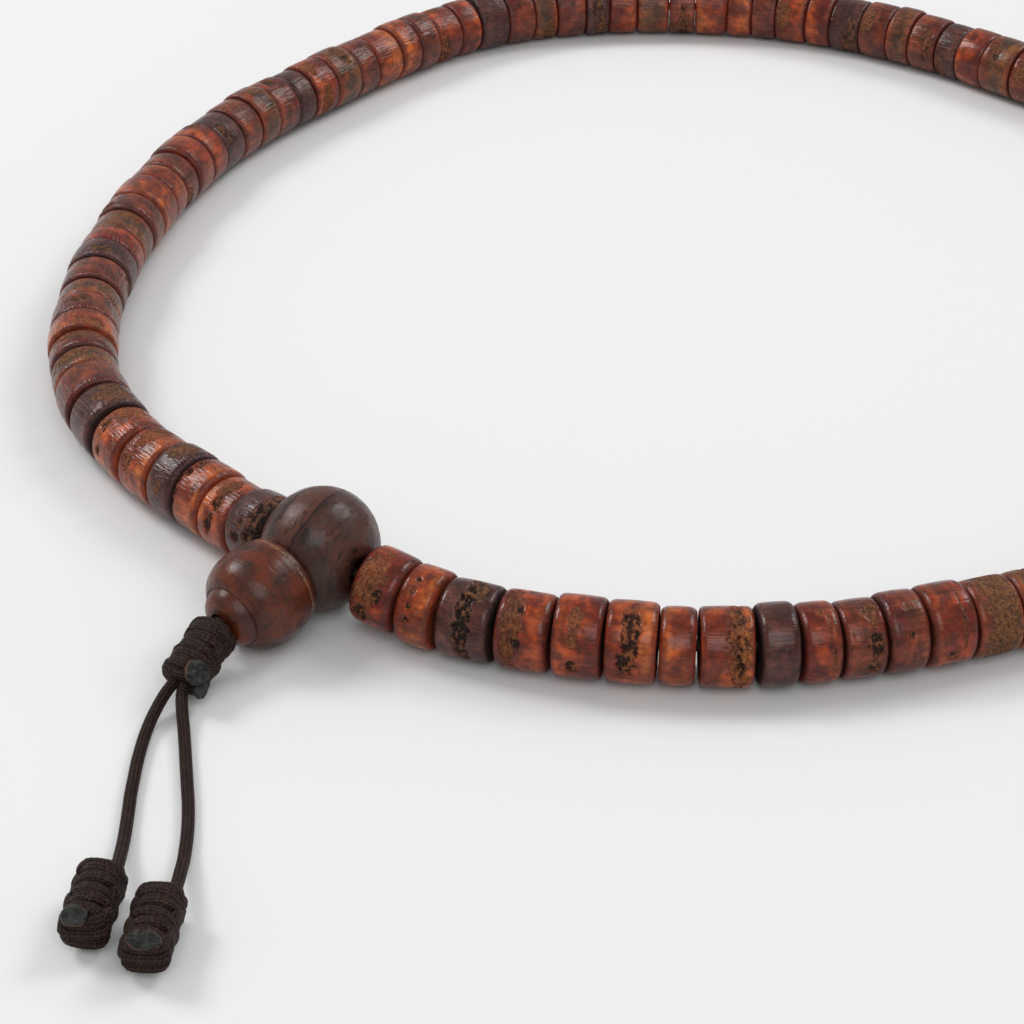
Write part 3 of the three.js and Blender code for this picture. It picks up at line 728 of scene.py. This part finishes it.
def bead_shape(bead, dye, patches, fine):
    """One disc bead in its own place, with pits, chips and dye on every point."""
    ground, second, glow, rim_tone, face_tone = DYES[dye]
    radius, half, number = bead["radius"], bead["half"], bead["number"]
    seed = number * 3.17
    shift = Vector((seed, -seed, seed * 0.5))
    dark_side = 1 if number % 2 else -1
    rim = RIM_ROUNDING + RIM_SPREAD * math.sin(number * 2.1)
    if fine == FAR_STEP:
        rim *= FAR_RIM_SHARE
    outline = bead_section(radius, half, BEAD_BORE_RADIUS, rim, fine)
    bm = turned_shape(outline, round(2 * math.pi * radius / fine))
    turned_layer = bm.verts.layers.float_vector.new("turned")
    dye_layer = bm.verts.layers.float_color.new("dye")
    wear_layer = bm.verts.layers.float_vector.new("wear_and_glint_patches")
    scratch_layer = bm.verts.layers.float.new("scratched")
    scratched = LEAST_SCRATCHED if number <= BEAD_COUNT / 2 else 1.0
    for vert in bm.verts:
        co = vert.co.copy()
        out = math.hypot(co.x, co.z)
        angle = math.degrees(math.atan2(co.z, co.x))
        along = co.y / half
        on_side = hump(out, radius - 0.6, radius - 0.05)
        on_face = 1 - hump(half - abs(co.y), 0.05, rim)
        low = noise.noise(co * 0.32 + shift)
        mid = noise.noise(Vector((co.x * 0.45, co.y * 1.5, co.z * 0.45)) + shift)
        fleck = noise.noise(co * 2.6 + shift)
        streak = noise.noise(Vector((co.x * 1.6, co.y * 0.25, co.z * 1.6)) - shift)
        pores = 0.0
        cavity = 0.0
        depth = 0.0
        for spot_angle, spot_along, half_angle, half_width, deep in patches:
            turn = (angle - spot_angle + 180) % 360 - 180
            away = math.sqrt((turn / half_angle) ** 2 + ((along - spot_along) / half_width) ** 2)
            ragged = away + 0.45 * noise.noise(co * 1.0 + shift) + 0.25 * fleck
            inside = 1 - hump(ragged, 0.6, 1.05)
            if inside <= 0 or out < radius - rim - 0.6:
                continue
            open_share = spongy(co, seed)
            pores = max(pores, inside)
            cavity = max(cavity, hump(inside, 0.3, 0.9) * open_share * hump(deep, 0.12, 0.5))
            depth = max(depth, hump(inside, 0.2, 0.8) * deep * (0.25 + 0.75 * open_share))
        nick = hump(noise.noise(co * 1.9 + shift * 2), 0.48, 0.65) * NICK_DEPTH
        wobble = WOBBLE * (low + 0.3) + BELLY * along * along + nick + depth
        inward = Vector((co.x / out, 0, co.z / out))
        if on_side > 0:
            co -= inward * max(wobble, -0.02) * on_side
        co.y -= math.copysign(FACE_WAVE * (1 + low) * on_face, co.y)
        tone = mixed(ground, second, hump(low + 0.7 * mid, -0.3, 0.35))
        band = along * dark_side + 0.5 * low
        tone = mixed(tone, glow, 0.6 * hump(-band + 0.4 * mid, 0.1, 0.7))
        tone = mixed(tone, rim_tone, 0.75 * hump(band, 0.15, 0.7))
        stain = hump(noise.noise(co * 0.8 - shift) + 0.3 * streak, 0.12, 0.5)
        tone = mixed(tone, rim_tone, 0.55 * stain)
        tone = mixed(tone, second, 0.5 * hump(streak, 0.05, 0.4))
        to_rim = hump(abs(along), 1 - 1.3 * rim / half, 1 - 0.3 * rim / half)
        tone = mixed(tone, rim_tone, 0.85 * to_rim)
        sawn = on_face * (1 - on_side)
        tone = mixed(tone, face_tone, sawn)
        vert[turned_layer] = co * MM + Vector((seed, seed, seed)) * MM * 3
        vert[dye_layer] = tone
        vert[wear_layer] = (pores, cavity, sawn)
        vert[scratch_layer] = scratched
        vert.co = co * MM
    bmesh.ops.transform(bm, matrix=place_along(bead["centre"], bead["axis"]), verts=bm.verts)
    return bm


# Bone under polish: drag marks along the bead, fine canals, granular spongy bone where the
# shell is worn through, and dark grime deep in its pores.
tree, inlet, outlet = new_group(
    "dyed bone",
    [("Dye", "Color"), ("Pores", "Float"), ("Cavity", "Float"), ("Sawn", "Float"),
     ("Turned", "Vector"), ("Speckle", "Float"), ("Polish", "Float"), ("Scratched", "Float")],
    [("Color", "Color"), ("Roughness", "Float"), ("Height", "Float")],
)
place = inlet.outputs["Turned"]
drag = grain_node(tree, stretched(tree, place, 3300, 300, 3300), 1.0, 2.0, 0.5)
cloudy = grain_node(tree, place, 650.0, 3.0, 0.6)
canal = grain_node(tree, stretched(tree, place, 3400, 1300, 3400), 1.0, 2.0, 0.5)
grit = grain_node(tree, place, 2600.0, 3.0, 0.7)
flecks = grain_node(tree, stretched(tree, place, 1500, 2600, 1500), 1.0, 4.0, 0.75)
cloud_share = ramp_node(tree, cloudy, 0.35, 0.68)
shade = blend_node(tree, cloud_share, CLOUD_DARK, CLOUD_LIGHT)
dyed = blend_node(tree, 1.0, inlet.outputs["Dye"], shade, "MULTIPLY")
dark_canal = times(tree, ramp_node(tree, canal, 0.58, 0.74), inlet.outputs["Speckle"])
dyed = blend_node(tree, dark_canal, dyed, PIT_DARK)
light_drag = times(tree, ramp_node(tree, drag, 0.56, 0.74), 0.14)
dyed = blend_node(tree, light_drag, dyed, PIT_TAN)
granular = blend_node(tree, ramp_node(tree, grit, 0.36, 0.7), PIT_BROWN, PIT_TAN)
granular = blend_node(tree, 0.35, granular, inlet.outputs["Dye"])
fleck_share = ramp_node(tree, flecks, 0.5, 0.36, 0.0, 0.8)
granular = blend_node(tree, fleck_share, granular, PIT_DARK)
grit_share = ramp_node(tree, grit, 0.5, 0.66, 0.0, 0.7)
hollow = blend_node(tree, grit_share, PIT_DARK, PIT_BROWN)
hollow = blend_node(tree, ramp_node(tree, flecks, 0.62, 0.7), hollow, PIT_GOLD)
loose = maths(tree, "SUBTRACT", flecks, 0.5)
deep_share = maths(tree, "ADD", inlet.outputs["Cavity"], times(tree, loose, 1.2))
spongy_colour = blend_node(tree, ramp_node(tree, deep_share, 0.12, 0.42), granular, hollow)
pore_edge = maths(tree, "ADD", inlet.outputs["Pores"], times(tree, loose, 1.6))
in_pore = ramp_node(tree, pore_edge, 0.25, 0.85)
worn_share = times(tree, in_pore, 0.9)
tree.links.new(blend_node(tree, worn_share, dyed, spongy_colour), outlet.inputs["Color"])
smooth_part = maths(tree, "ADD", inlet.outputs["Polish"], times(tree, drag, 0.2))
dull = maths(tree, "MAXIMUM", in_pore, inlet.outputs["Sawn"])
rough_mix = put(tree, "ShaderNodeMix", {0: dull, 2: smooth_part, 3: 0.8}).outputs[0]
tree.links.new(rough_mix, outlet.inputs["Roughness"])
scratches = times(tree, drag, inlet.outputs["Scratched"])
relief = maths(tree, "ADD", times(tree, scratches, 0.6),
               times(tree, times(tree, grit, in_pore), 1.8))
tree.links.new(relief, outlet.inputs["Height"])
bone_group = tree


def bone_material(name, speckle, polish):
    material, tree, shader = new_material(name)
    wear_and_glint_patches = attribute(tree, "wear_and_glint_patches")
    wear_and_glint_patches = put(tree, "ShaderNodeSeparateXYZ", {0: wear_and_glint_patches})
    bone = use_group(tree, bone_group, {
        "Dye": attribute(tree, "dye", "Color"),
        "Pores": wear_and_glint_patches.outputs[0], "Cavity": wear_and_glint_patches.outputs[1], "Sawn": wear_and_glint_patches.outputs[2],
        "Turned": attribute(tree, "turned"),
        "Scratched": attribute(tree, "scratched", "Fac"),
        "Speckle": speckle, "Polish": polish,
    })
    colour, roughness, height = bone.outputs
    finish_surface(tree, shader, colour, roughness, 0.4, (height, 0.34 * MM, 0.8))
    return material


BONE_FINISHES = {
    "bone_amber": bone_material("amber dyed bone", 0.5, 0.12),
    "bone_brown": bone_material("brown dyed bone", 0.6, 0.12),
    "bone_dark": bone_material("plum dyed bone", 0.8, 0.15),
}

for bead in beads:
    number = bead["number"]
    single = number <= SINGLE_RIGHT or number > BEAD_COUNT - SINGLE_LEFT
    if number in BEAD_NOTES:
        dye, patches = BEAD_NOTES[number]
    else:
        dye = FAR_DYES[(number * 5) % len(FAR_DYES)]
        patches = []
        for k in range(number % 3):
            chance = noise.cell(Vector((number, k, 0.5)))
            patches.append((90 + 130 * chance, math.sin(number * 2.3 + k) * 0.5, 22 + 30 * abs(chance),
                            0.3 + 0.25 * abs(math.sin(number)), 0.1 + 0.2 * abs(math.cos(number + k))))
    shape = bead_shape(bead, dye, patches, FINE_STEP if single else FAR_STEP)
    piece = finished(f"bone_bead_{number:03d}", shape, BONE_FINISHES[SLOTS[dye]])
    if single:
        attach(piece, f"bead_{number:03d}")
        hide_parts(f"bead_{number:03d}")
    else:
        run = (number - SINGLE_RIGHT - 1) // RUN_LENGTH + 1
        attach(piece, "strand")
        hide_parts(f"bead_run_{run:02d}")


# ------------------------------------------------------------------ the guru bead
# A round bead turned from darker bone, slightly shorter along the strand.  The strand goes in
# on both sides and comes out through a third hole, under the tower bead.
GURU_RADIUS = 8.1
GURU_BORE_DROP = 0.9
GURU_BORE_RADIUS = 1.7
GURU_CENTRE = Vector((*GURU_PLACE, GURU_RADIUS))
GURU_AXIS = (loop_line[1] - loop_line[-2]).normalized()
TOWER_RADIUS = 6.5
TOWER_CENTRE = 11.6
PENDANT_AXIS = Vector((-0.655, -0.756, (TOWER_RADIUS - GURU_RADIUS) / TOWER_CENTRE)).normalized()

GURU_END_RADIUS = 2.2                   # where the ball stops at its bore
GURU_RING = 3.0                         # rings of the ball before they are pushed out
GURU_BORE_STEPS = 12
SEAM_FACING = Vector((0.174, -0.928, 0.333))
SEAM_PLACES = (1.25, 4.9)
GURU_BANDS = 70
GURU_TURN_STEPS = 150


def guru_shape():
    """The ball is turned round its lowered bore, each ring pushed out to the ball's surface."""
    end = GURU_HALF_LENGTH * math.sqrt(1 - (GURU_END_RADIUS / GURU_RADIUS) ** 2)
    outline = []
    for k in range(GURU_BANDS + 1):
        y = -end * math.cos(math.pi * k / GURU_BANDS)
        outline.append((GURU_RING, y))
    bore_end = end - 0.35
    for k in range(GURU_BORE_STEPS + 1):
        outline.append((GURU_BORE_RADIUS, bore_end - 2 * bore_end * k / GURU_BORE_STEPS))
    bm = turned_shape(outline, GURU_TURN_STEPS)
    drop = Vector((0, 0, -GURU_BORE_DROP))
    pendant = place_along(GURU_CENTRE, GURU_AXIS).to_3x3().inverted() @ PENDANT_AXIS
    turned_layer = bm.verts.layers.float_vector.new("turned")
    for vert in bm.verts:
        co = vert.co.copy()
        out = math.hypot(co.x, co.z)
        if out > 2.5:
            ring = GURU_RADIUS * math.sqrt(max(0, 1 - (co.y / GURU_HALF_LENGTH) ** 2))
            up_share, side_share = co.z / out, co.x / out
            reach = (GURU_BORE_DROP * up_share
                     + math.sqrt(max(0.0, ring ** 2 - (GURU_BORE_DROP * side_share) ** 2)))
            reach = max(reach, GURU_BORE_RADIUS + 0.05)
            co = Vector((side_share * reach, co.y, up_share * reach)) + drop
            lump = noise.noise(co * 0.22) * 0.1 + noise.noise(co * 0.9) * 0.03
            seam_line = co.dot(SEAM_FACING) - SEAM_PLACES[0] + 0.5 * noise.noise(co * 0.35)
            seam = math.exp(-(seam_line / 0.16) ** 2)
            scar = hump(noise.noise(co * 1.3 + Vector((4, 2, 9))), 0.35, 0.6) * 0.06
            across = (co - pendant * co.dot(pendant)).length
            co *= 1 - (0.08 + abs(lump) + 0.04 * seam + scar) / co.length
            if across < 2.1 and co.dot(pendant) > 0:
                co -= pendant * 5.0 * (1 - hump(across, 1.55, 1.85))
        else:
            co += drop
        vert[turned_layer] = co * MM
        vert.co = co * MM
    bmesh.ops.transform(bm, matrix=place_along(GURU_CENTRE, GURU_AXIS), verts=bm.verts)
    bmesh.ops.recalc_face_normals(bm, faces=bm.faces)
    return bm


GURU_GROUND = paint(62, 36, 28)
GURU_RED = paint(92, 52, 40)
GURU_MOSS = paint(62, 50, 41)
GURU_BLACK = paint(18, 13, 11)

guru_material, tree, shader = new_material("dark turned bone")
turned_place = attribute(tree, "turned")
blotch = grain_node(tree, turned_place, 260.0, 4.0, 0.6)
moss = grain_node(tree, stretched(tree, turned_place, 300, 620, 300), 1.0, 4.0, 0.65)
fine = grain_node(tree, turned_place, 2600.0, 3.0, 0.7)
streaks = grain_node(tree, stretched(tree, turned_place, 500, 2400, 500), 1.0, 3.0, 0.6)
seam_place = put(tree, "ShaderNodeVectorMath", {0: turned_place, 1: SEAM_FACING},
                 operation="DOT_PRODUCT")
seam_place = maths(tree, "ADD", seam_place.outputs["Value"],
                   times(tree, maths(tree, "SUBTRACT", blotch, 0.5), 1.2 * MM))
red_share = ramp_node(tree, blotch, 0.42, 0.66, 0.0, 0.7)
first_seam, second_seam = SEAM_PLACES
past_first = ramp_node(tree, seam_place, first_seam * MM, (first_seam + 0.4) * MM)
before_second = ramp_node(tree, seam_place, (second_seam + 0.3) * MM, (second_seam - 0.5) * MM)
in_band = times(tree, past_first, before_second)
red_share = maths(tree, "MAXIMUM", red_share, times(tree, in_band, 0.8))
guru_colour = blend_node(tree, red_share, GURU_GROUND, GURU_RED)
moss_share = times(tree, ramp_node(tree, moss, 0.5, 0.62), ramp_node(tree, fine, 0.3, 0.6))
guru_colour = blend_node(tree, times(tree, moss_share, 0.8), guru_colour, GURU_MOSS)
black_share = maths(tree, "MAXIMUM", ramp_node(tree, moss, 0.47, 0.34),
                    ramp_node(tree, streaks, 0.55, 0.68))
guru_colour = blend_node(tree, times(tree, black_share, 0.75), guru_colour, GURU_BLACK)
for seam in SEAM_PLACES:
    from_seam = maths(tree, "ABSOLUTE", maths(tree, "SUBTRACT", seam_place, seam * MM))
    seam_mask = times(tree, ramp_node(tree, from_seam, 0.32 * MM, 0.06 * MM), 0.7)
    guru_colour = blend_node(tree, seam_mask, guru_colour, GURU_BLACK)
guru_roughness = ramp_node(tree, moss, 0.35, 0.7, 0.24, 0.44)
guru_relief = (maths(tree, "ADD", streaks, fine), 0.05 * MM, 0.5)
finish_surface(tree, shader, guru_colour, guru_roughness, 0.32, guru_relief)

guru = finished("guru_bead_turned", guru_shape(), guru_material)
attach(guru, "guru")
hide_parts("guru_bead")


# ------------------------------------------------------------------ the tower bead
# A small bead turned on a lathe from redder bone.  Its hollow back sits on the guru bead, and
# fine rings, a shoulder and a little dome run round its front, where the cord comes out.
TOWER_BORE_RADIUS = 1.6
TOWER_FRONT = 17.4
TOWER_TURN_STEPS = 150
TOWER_LINE = 7.6                        # a fine dusty line turned near its back
TOWER_WEAR_FROM = 8.6                   # chips start here, clear of the guru bead
TOWER_OUTLINE = [
    (1.6, 8.3), (2.6, 8.06), (3.6, 7.64), (4.6, 7.08), (5.25, 6.62), (5.6, 6.62),
    (5.85, 6.95), (5.95, 7.35), (5.98, 7.55), (6.14, 7.8), (6.3, 8.5), (6.42, 9.4),
    (6.5, 10.3), (6.52, 11.2), (6.48, 12.1),
    (6.34, 12.9), (6.1, 13.6), (5.75, 14.25), (5.3, 14.8), (4.85, 15.2), (4.45, 15.45), (4.3, 15.5),
    (4.22, 15.4), (4.1, 15.42), (4.0, 15.7), (3.75, 16.3), (3.35, 16.85), (2.85, 17.2),
    (2.3, 17.38), (1.9, 17.38), (1.6, 17.2), (1.6, 14.0), (1.6, 11.0),
]


def tower_shape():
    smooth = smooth_route([(r, y, 0) for r, y in TOWER_OUTLINE], 0.14)
    outline = [(p.x, p.y) for p in smooth]
    bm = turned_shape(outline, TOWER_TURN_STEPS)
    turned_layer = bm.verts.layers.float_vector.new("turned")
    for vert in bm.verts:
        co = vert.co.copy()
        out = math.hypot(co.x, co.z)
        if out > TOWER_BORE_RADIUS + 0.1 and co.y > TOWER_WEAR_FROM:
            inward = Vector((co.x / out, 0, co.z / out))
            chip = hump(noise.noise(co * 1.2 + Vector((3, 8, 1))), 0.4, 0.62) * 0.07
            co -= inward * (chip + 0.04 * (1 + noise.noise(co * 0.3)))
        vert[turned_layer] = co * MM
        vert.co = co * MM
    bmesh.ops.transform(bm, matrix=place_along(GURU_CENTRE, PENDANT_AXIS), verts=bm.verts)
    return bm


TOWER_GROUND = paint(67, 32, 21)
TOWER_RED = paint(99, 41, 21)
TOWER_STAIN = paint(30, 16, 13)
TOWER_EDGE = paint(150, 118, 88)

tower_material, tree, shader = new_material("red turned bone")
turned_place = attribute(tree, "turned")
cut = put(tree, "ShaderNodeSeparateXYZ", {0: turned_place})
blotch = grain_node(tree, turned_place, 300.0, 4.0, 0.6)
stain = grain_node(tree, stretched(tree, turned_place, 500, 260, 500), 1.0, 3.0, 0.6)
rings = grain_node(tree, stretched(tree, turned_place, 160, 3600, 160), 1.0, 2.0)
fine = grain_node(tree, turned_place, 3000.0, 3.0, 0.7)
tower_colour = blend_node(tree, ramp_node(tree, blotch, 0.4, 0.62), TOWER_GROUND, TOWER_RED)
stain_share = ramp_node(tree, stain, 0.52, 0.68, 0.0, 0.85)
tower_colour = blend_node(tree, stain_share, tower_colour, TOWER_STAIN)
tower_colour = blend_node(tree, times(tree, ramp_node(tree, rings, 0.55, 0.7), 0.35),
                          tower_colour, TOWER_STAIN)
from_line = maths(tree, "ABSOLUTE", maths(tree, "SUBTRACT", cut.outputs[1], TOWER_LINE * MM))
back_line = ramp_node(tree, from_line, 0.35 * MM, 0.1 * MM)
dusty = times(tree, back_line, ramp_node(tree, fine, 0.4, 0.6))
tower_colour = blend_node(tree, times(tree, dusty, 0.7), tower_colour, TOWER_EDGE)
specks = times(tree, ramp_node(tree, fine, 0.66, 0.74), 0.5)
tower_colour = blend_node(tree, specks, tower_colour, TOWER_EDGE)
tower_roughness = ramp_node(tree, stain, 0.35, 0.7, 0.24, 0.42)
tower_relief = (maths(tree, "ADD", rings, fine), 0.05 * MM, 0.5)
finish_surface(tree, shader, tower_colour, tower_roughness, 0.34, tower_relief)

tower = finished("tower_bead_turned", tower_shape(), tower_material)
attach(tower, "tower")
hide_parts("tower_bead")


# ------------------------------------------------------------------ the braided knot
# In front of the tower bead the two cord ends are knotted round each other over about 8 mm,
# and two short ends beside the knot were cut and melted into hard grey buttons.
KNOT_RADIUS = 3.0
KNOT_PITCH = 1.4
KNOT_FLATNESS = 0.9
KNOT_FULLNESS = 0.3         # how far the turns bulge past the knot's radius
KNOT_OVERHANG = 1.2         # and past its two ends together
KNOT_START = GURU_CENTRE + PENDANT_AXIS * (TOWER_FRONT + 0.5)
KNOT_END = Vector((-72.3, -105.2, 2.7))
knot_axis = (KNOT_END - KNOT_START).normalized()
knot_length = (KNOT_END - KNOT_START).length
knot_middle = (KNOT_START + KNOT_END) / 2 + knot_axis * 0.1
knot = square_knot("braided_knot_turns", knot_middle, knot_axis, KNOT_RADIUS + KNOT_FULLNESS,
                   KNOT_FLATNESS, knot_length + KNOT_OVERHANG, KNOT_PITCH, 21.3, "guru")
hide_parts("braided_knot")

# Each tip: how far along the knot, the way it faces, its half width, half height, thickness.
TIPS = {
    "upper": (0.87, Vector((0.55, -0.62, 0.56)), 1.62, 1.6, 0.75),
    "lower": (0.98, Vector((0.7, -0.6, -0.1)), 1.05, 1.1, 0.7),
}
for tip, (share, outward, width, depth, thickness) in TIPS.items():
    foot = KNOT_START.lerp(KNOT_END, share)
    away = (outward - knot_axis * outward.dot(knot_axis) * 0.7).normalized()
    spot = foot + away * (KNOT_RADIUS * 0.82 + 0.4)
    seed = 5.5 if tip == "upper" else 8.8
    blob = melted_blob(f"melted_tip_{tip}", spot, away, width, depth, thickness, seed, "guru")
    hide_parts(f"knot_tip_{tip}")


# ------------------------------------------------------------------ table and light
# A plain white table in a pale room, under three soft boxes: one on each side behind the
# beads, and a larger one in front.
floor_material, tree, shader = new_material("white table")
object_place = put(tree, "ShaderNodeTexCoord").outputs["Object"]
set_sockets(tree, shader, {
    "Base Color": (0.8, 0.8, 0.8, 1), "Specular IOR Level": 0.2,
    "Roughness": ramp_node(tree, grain_node(tree, object_place, 3.0), 0.3, 0.7, 0.55, 0.6),
})
floor_shape = bmesh.new()
bmesh.ops.create_grid(floor_shape, x_segments=4, y_segments=4, size=3)
bmesh.ops.translate(floor_shape, vec=(0, 0, -0.00002), verts=floor_shape.verts)
floor = finished("table_top", floor_shape, floor_material)


def soft_box(name, place, size, power):
    light_data = bpy.data.lights.new(name, "AREA")
    light_data.shape = "SQUARE"
    light_data.size = size
    light_data.energy = power
    light = bpy.data.objects.new(name, light_data)
    light.location = place
    light.rotation_euler = (Vector((0, 0, 0)) - Vector(place)).to_track_quat("-Z", "Y").to_euler()
    scene.collection.objects.link(light)


soft_box("soft_box_left", (-0.75, 0.35, 0.8), 0.36, 4.9)
soft_box("soft_box_right", (0.7, 0.45, 0.9), 0.5, 4.4)
soft_box("soft_box_front", (0.1, -0.9, 1.0), 0.8, 4.2)

world = bpy.data.worlds.new("pale room")
world.use_nodes = True
world.node_tree.nodes["Background"].inputs["Color"].default_value = (1, 1, 1, 1)
world.node_tree.nodes["Background"].inputs["Strength"].default_value = 0.5
scene.world = world
scene.view_settings.view_transform = "Standard"
